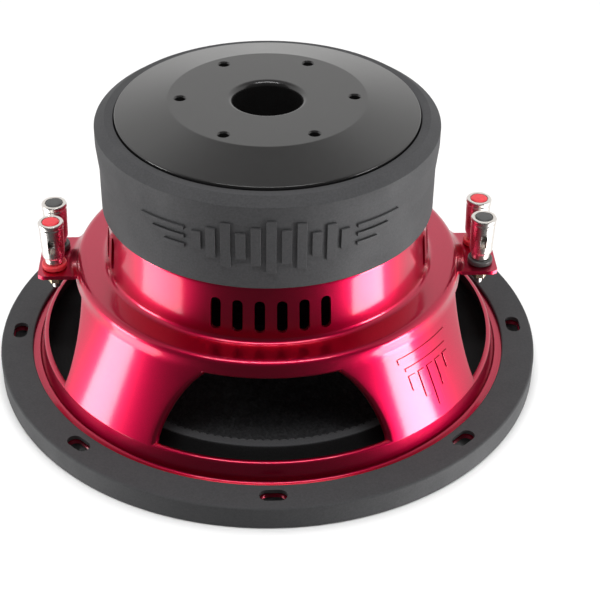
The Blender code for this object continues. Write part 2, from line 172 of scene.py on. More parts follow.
def add_floor():
    """A pale floor, open under the gasket so that the surround has room when the cone is forward."""
    vertices = [(x, y, 0.0) for r in (FLOOR_OPENING, FLOOR_REACH) for x, y in circle(r, FLOOR_STEPS)]
    faces = [(i, i + FLOOR_STEPS, (i + 1) % FLOOR_STEPS + FLOOR_STEPS, (i + 1) % FLOOR_STEPS)
             for i in range(FLOOR_STEPS)]
    mesh = mesh_from("floor", vertices, faces)
    floor = bpy.data.objects.new("floor", mesh)
    floor.location.z = -FLOOR_GAP
    floor.visible_glossy = False
    floor.visible_shadow = False
    bpy.context.scene.collection.objects.link(floor)
    mesh.materials.append(floor_material())


def add_stage():
    add_camera()
    add_world()
    add_floor()
    for softbox in SOFTBOXES:
        add_softbox(*softbox)
    bpy.context.scene.view_settings.view_transform = "Standard"


# Materials ------------------------------------------------------------------------

class Surface:
    """A Principled material and the few node steps that the driver's finishes share."""

    def __init__(self, name, colour, roughness, metallic=0.0, **fixed):
        self.material = bpy.data.materials.new(name)
        self.material.use_nodes = True
        self.nodes = self.material.node_tree.nodes
        self.links = self.material.node_tree.links
        self.shader = self.nodes["Principled BSDF"]
        self.shader.inputs["Base Color"].default_value = (*colour, 1.0)
        self.shader.inputs["Roughness"].default_value = roughness
        self.shader.inputs["Metallic"].default_value = metallic
        for key, value in fixed.items():
            self.shader.inputs[key.replace("_", " ").title().replace("Ior", "IOR")].default_value = value
        self.place = self.nodes.new("ShaderNodeTexCoord").outputs["Object"]
        self.relief = None

    def noise(self, size, detail=3.0, stretch=(1.0, 1.0, 1.0)):
        """Noise with features about that size in metres."""
        mapping = self.nodes.new("ShaderNodeMapping")
        mapping.inputs["Scale"].default_value = stretch
        self.links.new(self.place, mapping.inputs["Vector"])
        node = self.nodes.new("ShaderNodeTexNoise")
        node.inputs["Scale"].default_value = 1.0 / size
        node.inputs["Detail"].default_value = detail
        self.links.new(mapping.outputs[0], node.inputs["Vector"])
        return node.outputs["Fac"]

    def cells(self, size):
        node = self.nodes.new("ShaderNodeTexVoronoi")
        node.inputs["Scale"].default_value = 1.0 / size
        self.links.new(self.place, node.inputs["Vector"])
        return node

    def math(self, operation, first, second):
        node = self.nodes.new("ShaderNodeMath")
        node.operation = operation
        for socket, value in zip(node.inputs, (first, second)):
            if isinstance(value, (int, float)):
                socket.default_value = value
            else:
                self.links.new(value, socket)
        return node.outputs[0]

    def polar(self, turns, pitch):
        """Two waves: so many round the driver's axis, and one each pitch outwards from it."""
        split = self.nodes.new("ShaderNodeSeparateXYZ")
        self.links.new(self.place, split.inputs[0])
        x, y = split.outputs["X"], split.outputs["Y"]
        angle = self.math("MULTIPLY", self.math("ARCTAN2", y, x), float(turns))
        radius = self.math("SQRT", self.math("ADD", self.math("MULTIPLY", x, x),
                                             self.math("MULTIPLY", y, y)), 0.0)
        out = self.math("MULTIPLY", radius, 2 * math.pi / pitch)
        return self.math("SINE", angle, 0.0), self.math("SINE", out, 0.0)

    def rings(self, pitch):
        """A wave along Z."""
        split = self.nodes.new("ShaderNodeSeparateXYZ")
        self.links.new(self.place, split.inputs[0])
        return self.math("SINE", self.math("MULTIPLY", split.outputs["Z"], 2 * math.pi / pitch), 0.0)

    def colours(self, factor, dark, light, low=0.3, high=0.7):
        ramp = self.nodes.new("ShaderNodeValToRGB")
        ramp.color_ramp.elements[0].position, ramp.color_ramp.elements[1].position = low, high
        ramp.color_ramp.elements[0].color = (*dark, 1.0)
        ramp.color_ramp.elements[1].color = (*light, 1.0)
        self.links.new(factor, ramp.inputs["Fac"])
        self.links.new(ramp.outputs["Color"], self.shader.inputs["Base Color"])

    def spread(self, factor, low, high, socket="Roughness"):
        node = self.nodes.new("ShaderNodeMapRange")
        node.inputs["From Min"].default_value, node.inputs["From Max"].default_value = 0.3, 0.7
        node.inputs["To Min"].default_value, node.inputs["To Max"].default_value = low, high
        self.links.new(factor, node.inputs["Value"])
        self.links.new(node.outputs["Result"], self.shader.inputs[socket])

    def bump(self, height, depth, strength=1.0):
        """Add relief that deep, in metres, on top of any added before."""
        node = self.nodes.new("ShaderNodeBump")
        node.inputs["Strength"].default_value = strength
        node.inputs["Distance"].default_value = depth
        self.links.new(height, node.inputs["Height"])
        if self.relief is not None:
            self.links.new(self.relief, node.inputs["Normal"])
        self.relief = node.outputs["Normal"]
        self.links.new(self.relief, self.shader.inputs["Normal"])


def floor_material():
    floor = Surface("pale_floor", (0.86, 0.86, 0.86), 0.8)
    floor.colours(floor.noise(0.2), (0.85, 0.85, 0.85), (0.88, 0.88, 0.88))
    return floor.material


def red_paint():
    """Candy red: a fine metallic base under a clear coat."""
    paint = Surface("candy_red", (0.56, 0.0, 0.048), 0.36, 1.0,
                    coat_weight=1.0, coat_roughness=0.13, coat_ior=1.5)
    flakes = paint.cells(0.00022)
    paint.colours(flakes.outputs["Distance"], (0.44, 0.0, 0.035), (0.62, 0.001, 0.055), 0.15, 0.55)
    paint.spread(paint.noise(0.03), 0.35, 0.38)
    paint.bump(flakes.outputs["Distance"], 0.000003, 0.2)
    return paint.material


def black_paint():
    paint = Surface("gloss_black", (0.013, 0.0125, 0.0125), 0.24, 0.0, coat_weight=0.5, coat_roughness=0.09)
    paint.colours(paint.noise(0.004), (0.012, 0.0115, 0.0115), (0.014, 0.0135, 0.0135))
    paint.spread(paint.noise(0.02), 0.23, 0.27)
    paint.bump(paint.noise(0.0007, 2.0), 0.000004, 0.15)
    return paint.material


def rubber(name, tone, grain):
    """Moulded rubber with a fine matte grain and faint mould bloom."""
    skin = Surface(name, (tone, tone, tone * 1.05), 0.78)
    skin.colours(skin.noise(0.0009, 4.0), (tone * 0.85, tone * 0.85, tone * 0.9),
                 (tone * 1.18, tone * 1.18, tone * 1.24))
    skin.spread(skin.noise(0.02), 0.68, 0.82)
    skin.bump(skin.noise(grain, 2.0), 0.00006, 0.5)
    return skin.material


def foam():
    skin = Surface("surround_foam", (0.012, 0.012, 0.013), 0.95)
    cells = skin.cells(0.0006)
    skin.colours(cells.outputs["Distance"], (0.003, 0.003, 0.003), (0.009, 0.009, 0.0095), 0.1, 0.6)
    skin.bump(cells.outputs["Distance"], 0.00012, 0.7)
    return skin.material


def paper():
    """Pressed pulp: matted fibres, lumpy and dark."""
    pulp = Surface("pressed_pulp", (0.018, 0.018, 0.019), 0.85)
    lumps = pulp.noise(0.004, 8.0)
    pulp.colours(pulp.noise(0.0012, 5.0), (0.010, 0.010, 0.011), (0.024, 0.024, 0.026), 0.35, 0.68)
    pulp.bump(lumps, 0.004, 1.0)
    pulp.bump(pulp.noise(0.0009, 3.0), 0.0003, 0.8)
    return pulp.material


def cloth():
    """Resin-dipped cotton weave, laid out round the driver's axis."""
    weave = Surface("cotton_weave", (0.03, 0.027, 0.024), 0.85)
    around, outward = weave.polar(420, 0.0011)
    crossed = weave.math("MULTIPLY", around, outward)
    weave.colours(weave.math("ADD", weave.math("MULTIPLY", crossed, 0.5), 0.5),
                  (0.014, 0.012, 0.010), (0.050, 0.045, 0.040), 0.1, 0.9)
    weave.bump(crossed, 0.00012, 0.8)
    return weave.material


def plain_metal(name, colour, roughness, variation=0.08, grain=0.0006):
    metal = Surface(name, colour, roughness, 1.0)
    metal.spread(metal.noise(grain, 3.0), max(roughness - variation, 0.03), roughness + variation)
    metal.bump(metal.noise(grain, 2.0), 0.000006, 0.4)
    return metal.material


def ferrite():
    stone = Surface("sintered_ferrite", (0.045, 0.045, 0.048), 0.55, 0.15)
    stone.colours(stone.noise(0.0008, 5.0), (0.03, 0.03, 0.032), (0.07, 0.07, 0.074))
    stone.bump(stone.noise(0.0005, 4.0), 0.00005, 0.6)
    return stone.material


def wound_wire():
    wire = Surface("lacquered_copper", (0.62, 0.25, 0.10), 0.32, 1.0, coat_weight=0.6)
    turns = wire.rings(0.0005)
    wire.spread(wire.noise(0.003), 0.25, 0.4)
    wire.bump(turns, 0.00012, 0.9)
    return wire.material


def braid():
    strands = Surface("braided_copper", (0.66, 0.33, 0.16), 0.35, 1.0)
    weave = strands.noise(0.0004, 1.0, (0.4, 1.6, 1.6))
    strands.colours(weave, (0.42, 0.18, 0.07), (0.78, 0.44, 0.24))
    strands.bump(weave, 0.0002, 0.9)
    return strands.material


def plastic(name, colour):
    shell = Surface(name, colour, 0.42, coat_weight=0.25, coat_roughness=0.2)
    dim = tuple(c * 0.8 for c in colour)
    shell.colours(shell.noise(0.0012, 3.0), dim, colour)
    shell.bump(shell.noise(0.0004, 2.0), 0.00001, 0.5)
    return shell.material


def thread():
    yarn = Surface("waxed_thread", (0.05, 0.05, 0.052), 0.6)
    twist = yarn.noise(0.0003, 1.0)
    yarn.colours(twist, (0.03, 0.03, 0.03), (0.085, 0.085, 0.09))
    yarn.bump(twist, 0.0001, 0.8)
    return yarn.material


FINISH = {
    "red": red_paint(), "black": black_paint(), "gasket": rubber("gasket_rubber", 0.037, 0.0005),
    "boot": rubber("boot_rubber", 0.042, 0.0007), "foam": foam(), "paper": paper(), "cloth": cloth(),
    "band": rubber("surround_landing", 0.050, 0.0004),
    "zinc": plain_metal("zinc_plate", (0.55, 0.55, 0.53), 0.34), "ferrite": ferrite(),
    "nickel": plain_metal("polished_nickel", (0.88, 0.84, 0.80), 0.30, 0.04),
    "brass": plain_metal("tinned_brass", (0.80, 0.66, 0.46), 0.28),
    "aluminium": plain_metal("aluminium_foil", (0.72, 0.72, 0.73), 0.3),
    "winding": wound_wire(), "braid": braid(), "thread": thread(),
    "red_plastic": plastic("red_plastic", (0.80, 0.035, 0.050)),
    "black_plastic": plastic("black_plastic", (0.060, 0.060, 0.060))}


# Shapes ---------------------------------------------------------------------------

def rounded(line, closed=True, segments=5):
    """Round the corners of a line of (radius, height, fillet) points. A missing fillet is sharp."""
    points = []
    count = len(line)
    for i, corner in enumerate(line):
        here = Vector(corner[:2])
        radius = corner[2] if len(corner) > 2 else 0.0
        if radius == 0.0 or (not closed and i in (0, count - 1)):
            points.append(tuple(here))
            continue
        before = (Vector(line[i - 1][:2]) - here)
        after = (Vector(line[(i + 1) % count][:2]) - here)
        half = before.angle(after) / 2
        run = min(radius / math.tan(half), before.length * 0.48, after.length * 0.48)
        start, end = here + before.normalized() * run, here + after.normalized() * run
        centre = here + (before.normalized() + after.normalized()).normalized() * (run / math.cos(half))
        from_centre, to_centre = start - centre, end - centre
        sweep = from_centre.angle_signed(to_centre)
        for k in range(segments + 1):
            turn = Matrix.Rotation(-sweep * k / segments, 2)
            points.append(tuple(centre + turn @ from_centre))
    return points


def new_object(name, mesh, finish):
    mesh.materials.append(FINISH[finish])
    mesh.shade_smooth()
    mesh.set_sharp_from_angle(angle=CREASE)
    obj = bpy.data.objects.new(name, mesh)
    bpy.context.scene.collection.objects.link(obj)
    return obj


def mesh_from(name, vertices, faces):
    """Mesh with its faces turned outwards."""
    mesh = bpy.data.meshes.new(name)
    mesh.from_pydata([tuple(v) for v in vertices], [], faces)
    bm = bmesh.new()
    bm.from_mesh(mesh)
    bmesh.ops.remove_doubles(bm, verts=bm.verts, dist=1e-6)
    bmesh.ops.dissolve_degenerate(bm, dist=1e-7, edges=bm.edges)
    bmesh.ops.recalc_face_normals(bm, faces=bm.faces)
    bm.to_mesh(mesh)
    bm.free()
    return mesh


def lathe_mesh(name, profile, steps, closed=True, at=(0.0, 0.0)):
    """Turn a profile of (radius, height) points about an upright axis."""
    vertices = [(at[0] + r * math.cos(a), at[1] + r * math.sin(a), z)
                for a in (TURN * s / steps for s in range(steps)) for r, z in profile]
    rows = len(profile)
    spans = rows if closed else rows - 1
    faces = [(s * rows + i, s * rows + (i + 1) % rows,
              (s + 1) % steps * rows + (i + 1) % rows, (s + 1) % steps * rows + i)
             for s in range(steps) for i in range(spans)]
    return mesh_from(name, vertices, faces)


def lathe(name, profile, finish, steps=192, closed=True, at=(0.0, 0.0)):
    return new_object(name, lathe_mesh(name, profile, steps, closed, at), finish)


def settle(obj, body="chassis", *nodes):
    """Give a finished piece even shading, its body, and the CAD nodes that it stands for."""
    weighted = obj.modifiers.new("normals", "WEIGHTED_NORMAL")
    weighted.keep_sharp = True
    weighted.weight = 80
    if body:
        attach(obj, body)
    if nodes:
        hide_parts(*nodes)
    return obj


def ring(outer, inner, low, high, fillet=0.0004):
    return rounded([(outer, high, fillet), (outer, low, fillet), (inner, low, fillet), (inner, high, fillet)],
                   segments=3)


def sheet_profile(line, thickness):
    """Closed profile of a sheet whose outer side is the line, walked top to bottom."""
    points = [Vector(p) for p in line]
    inner = []
    for i, point in enumerate(points):
        a, b = points[max(i - 1, 0)], points[min(i + 1, len(points) - 1)]
        along = (b - a).normalized()
        inner.append(tuple(point + Vector((along.y, -along.x)) * thickness))
    return [tuple(p) for p in points] + inner[::-1]


def capsule(length, width, end_steps=12):
    """Outline of a slot with round ends, long in X."""
    half = (length - width) / 2
    return [(side * half + width / 2 * math.cos(start + math.pi * i / end_steps),
             width / 2 * math.sin(start + math.pi * i / end_steps))
            for side, start in ((1, -QUARTER), (-1, QUARTER)) for i in range(end_steps + 1)]


def circle(radius, steps=24):
    return [(radius * math.cos(a), radius * math.sin(a)) for a in (TURN * i / steps for i in range(steps))]


def prism_mesh(name, outline, low, high, places=(Matrix.Identity(4),)):
    """Prisms of one outline, from low to high in Z, one at each place."""
    vertices, faces = [], []
    for place in places:
        base, n = len(vertices), len(outline)
        vertices += [place @ Vector((x, y, z)) for z in (low, high) for x, y in outline]
        faces.append(tuple(base + i for i in reversed(range(n))))
        faces.append(tuple(base + n + i for i in range(n)))
        faces += [(base + i, base + (i + 1) % n, base + n + (i + 1) % n, base + n + i) for i in range(n)]
    return mesh_from(name, vertices, faces)


def cut(obj, mesh):
    """Cut the mesh's shape out of the object, for good."""
    tool = bpy.data.objects.new("cutter", mesh)
    bpy.context.scene.collection.objects.link(tool)
    boolean = obj.modifiers.new("cut", "BOOLEAN")
    boolean.solver = "EXACT"
    boolean.object = tool
    bpy.context.view_layer.update()
    result = bpy.data.meshes.new_from_object(obj.evaluated_get(bpy.context.evaluated_depsgraph_get()))
    obj.modifiers.clear()
    obj.data = result
    result.shade_smooth()
    result.set_sharp_from_angle(angle=CREASE)
    bpy.data.objects.remove(tool, do_unlink=True)


def soften(obj, width, segments=2, angle=50):
    bevel = obj.modifiers.new("soft_edges", "BEVEL")
    bevel.width = width
    bevel.segments = segments
    bevel.limit_method = "ANGLE"
    bevel.angle_limit = math.radians(angle)
    bevel.harden_normals = True


# Basket ---------------------------------------------------------------------------

SHEET = 1.6 * MM
SKIRT_FOOT = (109.6 * MM, 17.0 * MM)
SHOULDER = top("basket") - 28.3 * MM
THROAT_FOOT, THROAT_HEAD = 76.6 * MM, 74.3 * MM
FLANGE_TOP = 8.8 * MM
FLANGE_START = 114.0 * MM
WINDOW_HEAD, HEAD_RADIUS = 52.0 * MM, 91.7 * MM
WINDOW_SIDE = [(53.6, 17.0), (53.0, 20.5), (51.1, 25.5), (48.4, 31.0), (44.8, 37.0), (40.6, 42.5),
               (36.4, 47.0), (32.8, 50.0), (30.3, 52.0)]      # half-width and height, in mm
WINDOW_ROLL = [(0.9, 0.2), (1.7, 0.8), (2.25, 1.7), (2.45, 2.8)]   # into the window and inward, in mm
VENT_PITCH = math.radians(7.4)
VENTS = 6
VENT_CENTRE = 71.5 * MM
VENT_LENGTH, VENT_WIDTH = 16.0 * MM, 4.6 * MM
VENT_COLUMNS = 4
LEG_COLUMNS = 12
BOLT_CIRCLE = 122.2 * MM
FLANGE_SLOT = (10.6 * MM, 6.0 * MM)
TAB_TOP = 54.5 * MM
TAB_HALF = 17.0 * MM
TAB_OUTER = 108.5 * MM
TAB_CORNER = 2.5 * MM
TAB_BEND = 7 * MM
TAB_ROOT, TAB_ROOT_RADIUS, TAB_FLARE = top("basket") - 28.6 * MM, 87.9 * MM, 1.28
TERMINAL_X, TERMINAL_Y = 101 * MM, 8.4 * MM
LEG_MIDDLE = math.radians(46.5)


def basket_rows():
    """The shell's outer side from its bore down to the flange, in steps of about 2 mm."""
    line = rounded([(40.5 * MM, top("basket")), (THROAT_HEAD, top("basket"), 2.4 * MM),
                    (THROAT_FOOT, SHOULDER, 2.8 * MM), (91.0 * MM, SHOULDER - 0.1 * MM, 3.8 * MM),
                    (HEAD_RADIUS, WINDOW_HEAD, 10 * MM), (*SKIRT_FOOT, 1.2 * MM),
                    (111.8 * MM, FLANGE_TOP, 1.4 * MM), (FLANGE_START + 0.3 * MM, FLANGE_TOP)],
                   closed=False, segments=6)
    rows = []
    for start, end in zip(line, line[1:]):
        parts = max(1, math.ceil(math.dist(start, end) / (2.1 * MM)))
        rows += [tuple(np.add(start, np.subtract(end, start) * k / parts)) for k in range(parts)]
    return rows + [line[-1]]


def window_half(radius, height):
    """Half-angle of the middle block of columns: vents above, the window below."""
    heights = [z * MM for _, z in WINDOW_SIDE]
    widths = [x * MM for x, _ in WINDOW_SIDE]
    vents = VENTS / 2 * VENT_PITCH
    head = math.asin(widths[-1] / HEAD_RADIUS)
    if height > SHOULDER + 0.1 * MM or radius < THROAT_FOOT:
        return vents
    if height > WINDOW_HEAD:
        share = min(1.0, max(0.0, (radius - THROAT_FOOT) / (90.0 * MM - THROAT_FOOT)))
        return vents + (head - vents) * share
    if height < SKIRT_FOOT[1]:
        return math.asin(widths[0] / SKIRT_FOOT[0])
    return math.asin(float(np.interp(height, heights, widths)) / radius)


def rolled_edge(vertices, loop):
    """Turn the sheet inward all round a window, most of all along its sides."""
    points = [Vector(vertices[i]) for i in loop]
    n = len(points)
    centre = sum(points, Vector()) / n
    strips = [loop]
    frames = []
    for i, p in enumerate(points):
        along = (points[(i + 1) % n] - points[i - 1]).normalized()
        outward = Vector((p.x, p.y, 0.35 * math.hypot(p.x, p.y))).normalized()
        into = along.cross(outward).normalized()
        if into.dot(centre - p) < 0:
            into.negate()
        frames.append((into, outward, 0.65 + 0.35 * abs(along.z)))
    for across, deep in WINDOW_ROLL:
        strips.append(range(len(vertices), len(vertices) + n))
        vertices += [tuple(p + into * (across * MM * scale) - outward * (deep * MM * scale))
                     for p, (into, outward, scale) in zip(points, frames)]
    return [(b[i], b[(i + 1) % n], a[(i + 1) % n], a[i])
            for a, b in zip(strips, strips[1:]) for i in range(n)]


def basket_shell_mesh():
    rows = basket_rows()
    middle = VENTS * VENT_COLUMNS
    span = middle + 2 * LEG_COLUMNS
    columns = 4 * span
    vertices, index = [], {}

    def angle(row, column):
        quadrant, k = divmod(column % columns, span)
        half = window_half(*rows[row])
        leg = math.pi / 4 - half
        if k < LEG_COLUMNS:
            local = -math.pi / 4 + leg * k / LEG_COLUMNS
        elif k <= LEG_COLUMNS + middle:
            local = -half + 2 * half * (k - LEG_COLUMNS) / middle
        else:
            local = half + leg * (k - LEG_COLUMNS - middle) / LEG_COLUMNS
        return quadrant * QUARTER - QUARTER + local

    def put(key, theta, radius, height):
        if key not in index:
            index[key] = len(vertices)
            vertices.append((radius * math.cos(theta), radius * math.sin(theta), height))
        return index[key]

    def grid(row, column):
        column %= columns
        return put((row, column), angle(row, column), *rows[row])

    heights = [z for _, z in rows]
    head = min(range(len(rows)), key=lambda i: abs(heights[i] - WINDOW_HEAD) if rows[i][0] > 91 * MM else 1)
    sill = min(range(len(rows)), key=lambda i: abs(heights[i] - SKIRT_FOOT[1]))
    throat = [i for i in range(len(rows)) if rows[i][0] < THROAT_FOOT + 1 * MM
              and abs(heights[i] - VENT_CENTRE) <= VENT_LENGTH / 2 + 2.4 * MM]
    vent_rows = (throat[0], throat[-1])

    def in_window(row, column):
        return head <= row < sill and LEG_COLUMNS <= column % span < LEG_COLUMNS + middle

    def in_vent(row, column):
        return (vent_rows[0] <= row < vent_rows[1]
                and LEG_COLUMNS <= column % span < LEG_COLUMNS + middle)

    faces = [(grid(r, c), grid(r + 1, c), grid(r + 1, c + 1), grid(r, c + 1))
             for r in range(len(rows) - 1) for c in range(columns)
             if not in_window(r, c) and not in_vent(r, c)]
    straight = (VENT_LENGTH - VENT_WIDTH) / 2
    radii = [r for r, _ in rows]
    for quadrant in range(4):
        for vent in range(VENTS):
            first = quadrant * span + LEG_COLUMNS + vent * VENT_COLUMNS
            last = first + VENT_COLUMNS
            high, low = vent_rows
            loop = [(low, c) for c in range(first, last)] + [(r, last) for r in range(low, high, -1)]
            loop += [(high, c) for c in range(last, first, -1)] + [(r, first) for r in range(high, low)]
            centre = (angle(low, first) + angle(low, last)) / 2
            inner = []
            for row, column in loop:
                x = (angle(row, column) - centre) * rows[row][0]
                z = heights[row] - VENT_CENTRE
                end = min(max(z, -straight), straight)
                scale = VENT_WIDTH / 2 / math.hypot(x, z - end)
                x, z = x * scale, VENT_CENTRE + end + (z - end) * scale
                radius = float(np.interp(z, heights[high:low + 1][::-1], radii[high:low + 1][::-1]))
                inner.append(put(("vent", quadrant, vent, row, column), centre + x / radius, radius, z))
            outer = [grid(*key) for key in loop]
            n = len(loop)
            faces += [(outer[i], outer[(i + 1) % n], inner[(i + 1) % n], inner[i]) for i in range(n)]
        left = quadrant * span + LEG_COLUMNS
        right = left + middle
        loop = [(head, c) for c in range(left, right)] + [(r, right) for r in range(head, sill)]
        loop += [(sill, c) for c in range(right, left, -1)] + [(r, left) for r in range(sill, head, -1)]
        faces += rolled_edge(vertices, [grid(*key) for key in loop])
    mesh = mesh_from("basket_shell", vertices, faces)
    outward = sum(f.normal.x * f.center.x + f.normal.y * f.center.y for f in mesh.polygons)
    if outward < 0:
        mesh.flip_normals()
    return mesh


def add_thickness(obj, thickness):
    solid = obj.modifiers.new("sheet", "SOLIDIFY")
    solid.thickness = thickness
    solid.offset = -1.0


def rim_places():
    return [Matrix.Translation((BOLT_CIRCLE * math.cos(a), BOLT_CIRCLE * math.sin(a), 0.0))
            @ Matrix.Rotation(a + QUARTER, 4, "Z") for a in (i * math.pi / 4 for i in range(8))]


def tab_mesh(name, side):
    """A terminal tab, drawn out of the shoulder in one smooth bend."""
    across, bend, flat, drop = 24, 8, 6, TAB_ROOT - TAB_TOP
    rows = bend + flat + 1
    vertices = []
    for j in range(across + 1):
        share = -1 + 2 * j / across
        y_end = share * TAB_HALF
        past = max(0.0, abs(y_end) - (TAB_HALF - TAB_CORNER))
        x_end = TAB_OUTER - TAB_CORNER + math.sqrt(max(0.0, TAB_CORNER ** 2 - past ** 2))
        flare = share * TAB_HALF * TAB_FLARE
        x_root = math.sqrt(TAB_ROOT_RADIUS ** 2 - flare ** 2)
        for i in range(rows):
            if i <= bend:
                t = i / bend
                x = x_root + TAB_BEND * t
                z = TAB_TOP + drop * (1 - ease(t))
                y = flare + (y_end - flare) * ease(t)
            else:
                t = (i - bend) / flat
                x = x_root + TAB_BEND + (x_end - x_root - TAB_BEND) * t
                y, z = y_end, TAB_TOP
            vertices.append((side * x, y, z))
    faces = [(j * rows + i, j * rows + i + 1, (j + 1) * rows + i + 1, (j + 1) * rows + i)
             for j in range(across) for i in range(rows - 1)]
    mesh = mesh_from(name, vertices, faces)
    if sum(f.normal.z for f in mesh.polygons) < 0:
        mesh.flip_normals()
    return mesh


def build_basket():
    shell = new_object("basket_shell", basket_shell_mesh(), "red")
    add_thickness(shell, SHEET)
    soften(shell, 0.32 * MM)
    settle(shell, "chassis", "basket")

    flange_ring = ring(127.9 * MM, FLANGE_START, FLANGE_TOP - SHEET, FLANGE_TOP - 0.05 * MM)
    flange = lathe("basket_flange", flange_ring, "red")
    cut(flange, prism_mesh("slots", capsule(*FLANGE_SLOT), 0.0, 20 * MM, rim_places()))
    settle(flange)

    for side, word in ((-1, "left"), (1, "right")):
        tab = new_object(f"basket_tab_{word}", tab_mesh(f"basket_tab_{word}", side), "red")
        add_thickness(tab, 2.0 * MM)
        holes = [Matrix.Translation((side * TERMINAL_X, y, 0.0)) for y in (-TERMINAL_Y, TERMINAL_Y)]
        cut(tab, prism_mesh("holes", circle(3.0 * MM), 40 * MM, 70 * MM, holes))
        soften(tab, 0.5 * MM, 3)
        settle(tab)


# Rim, boot and motor --------------------------------------------------------------

GASKET_BORE, GASKET_STEP = 114.0 * MM, 115.5 * MM
GASKET_SLOT = (12.4 * MM, 6.8 * MM)
BOOT_LIP, BOOT_SIDE, BOOT_BORE = 78.1 * MM, 76.9 * MM, 69.45 * MM
BOOT_LIP_FOOT, BOOT_SIDE_HEAD = 120.8 * MM, 108.5 * MM
POLE_VENT, PLATE_HOLE, PLATE_HOLE_CIRCLE, PLATE_HOLES = 15.5 * MM, 2.3 * MM, 39.1 * MM, 6
TOP_PLATE_BORE, MAGNET_BORE = 29.0 * MM, 37.5 * MM


def build_gasket():
    outer, height = reach("gasket"), top("gasket")
    profile = rounded([
        (outer, height, 1.1 * MM), (outer, 0.0, 0.5 * MM), (GASKET_BORE, 0.0, 0.5 * MM),
        (GASKET_BORE, 5.3 * MM, 0.4 * MM), (118.4 * MM, 5.3 * MM), (118.4 * MM, 6.9 * MM),
        (128.3 * MM, 6.9 * MM), (128.3 * MM, 9.1 * MM), (GASKET_STEP, 9.1 * MM, 0.3 * MM),
        (GASKET_STEP, height, 0.7 * MM)])
    gasket = lathe("gasket_body", profile, "gasket", 256)
    cut(gasket, prism_mesh("slots", capsule(*GASKET_SLOT), -5 * MM, 20 * MM, rim_places()))
    settle(gasket, "chassis", "gasket")


def build_boot():
    low, high = foot("boot"), top("boot")
    profile = rounded([
        (73.4 * MM, high, 0.5 * MM), (BOOT_LIP, 128.3 * MM, 0.5 * MM), (BOOT_LIP, BOOT_LIP_FOOT, 2 * MM),
        (BOOT_SIDE, BOOT_SIDE_HEAD, 3 * MM), (BOOT_SIDE, low, 0.8 * MM), (BOOT_BORE, low, 0.3 * MM),
        (BOOT_BORE, high, 0.4 * MM)])
    settle(lathe("boot_shell", profile, "boot", 256), "chassis", "boot")


def build_back_plate():
    low, high = foot("back_plate"), top("back_plate")
    yoke = top("magnet_rear") + 0.3 * MM
    edge = reach("back_plate")
    profile = rounded([
        (POLE_VENT, high, 2.6 * MM), (44.9 * MM, high, 3.0 * MM), (edge, 132.7 * MM, 0.8 * MM),
        (edge, yoke, 0.4 * MM), (24.8 * MM, yoke), (24.8 * MM, low, 0.5 * MM),
        (17.5 * MM, low, 0.4 * MM), (POLE_VENT, low + 6 * MM, 2 * MM)], segments=8)
    plate = lathe("back_plate_body", profile, "black", 256)
    hole = rounded([(0.0, high + 2 * MM), (4.6 * MM, high + 2 * MM), (PLATE_HOLE, high - 0.7 * MM, 0.3 * MM),
                    (PLATE_HOLE, high - 7 * MM), (0.0, high - 8.5 * MM)], closed=False)
    for place in circle(PLATE_HOLE_CIRCLE, PLATE_HOLES):
        cut(plate, lathe_mesh("hole", hole, 32, False, place))
    settle(plate, "chassis", "back_plate")


def build_motor():
    for name, finish, bore in (("top_plate", "zinc", TOP_PLATE_BORE),
                               ("magnet_front", "ferrite", MAGNET_BORE),
                               ("magnet_rear", "ferrite", MAGNET_BORE)):
        profile = ring(reach(name), bore, foot(name), top(name))
        settle(lathe(f"{name}_body", profile, finish, 128), "chassis", name)
    for number in range(1, 7):
        node = f"frame_screw_{number}"
        low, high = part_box(node)
        centre = ((low.x + high.x) / 2, (low.y + high.y) / 2)
        seat = high.z - 8.5 * MM
        profile = rounded([
            (0.0, high.z), (2.5 * MM, high.z, 0.4 * MM), (2.5 * MM, seat), (4.4 * MM, seat, 0.2 * MM),
            (4.3 * MM, seat - 2.3 * MM, 0.5 * MM), (3.0 * MM, low.z, 0.5 * MM), (0.0, low.z)], closed=False)
        screw = lathe(f"{node}_body", profile, "zinc", 32, False, centre)
        cut(screw, prism_mesh("hex", circle(1.8 * MM, 6), low.z - MM, low.z + 1.8 * MM,
                              [Matrix.Translation((*centre, 0.0))]))
        settle(screw, "chassis", node)


# Moving assembly and suspension ---------------------------------------------------

def radial_blend(obj):
    """Bake the object's placement into its mesh."""
    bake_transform(obj)


def build_cone():
    neck = 27.4 * MM
    line = rounded([(neck, top("cone")), (neck, 45.2 * MM, 2.5 * MM), (58.0 * MM, 29.1 * MM, 60 * MM),
                    (85.5 * MM, 12.1 * MM, 1.5 * MM), (92.0 * MM, 11.9 * MM)], closed=False, segments=8)
    settle(lathe("cone_body", sheet_profile(line, 1.0 * MM), "paper", 160), "cone_assembly", "cone")

    rim, apex = 46.0 * MM, foot("dust_cap")
    high = 33.4 * MM
    arc = [(rim * math.cos(a), high - (high - apex) * math.sin(a))
           for a in (QUARTER * i / 16 for i in range(17))]
    arc[-1] = (0.0, apex)
    inner = [(0.0, apex + 0.9 * MM)] + [(r - 0.75 * MM, z + 0.65 * MM) for r, z in reversed(arc[:-1])]
    settle(lathe("dust_cap_dome", inner + arc, "paper", 96, False), "cone_assembly", "dust_cap")

    profile = ring(26.1 * MM, 25.6 * MM, foot("coil_former"), top("coil_former"), 0.1 * MM)
    settle(lathe("coil_former_tube", profile, "aluminium", 128), "cone_assembly", "coil_former")
    for name in ("coil_winding_inner", "coil_winding_outer"):
        outer = reach(name)
        profile = ring(outer, outer - 0.7 * MM, foot(name), top(name), 0.2 * MM)
        settle(lathe(f"{name}_body", profile, "winding", 128), "cone_assembly", name)


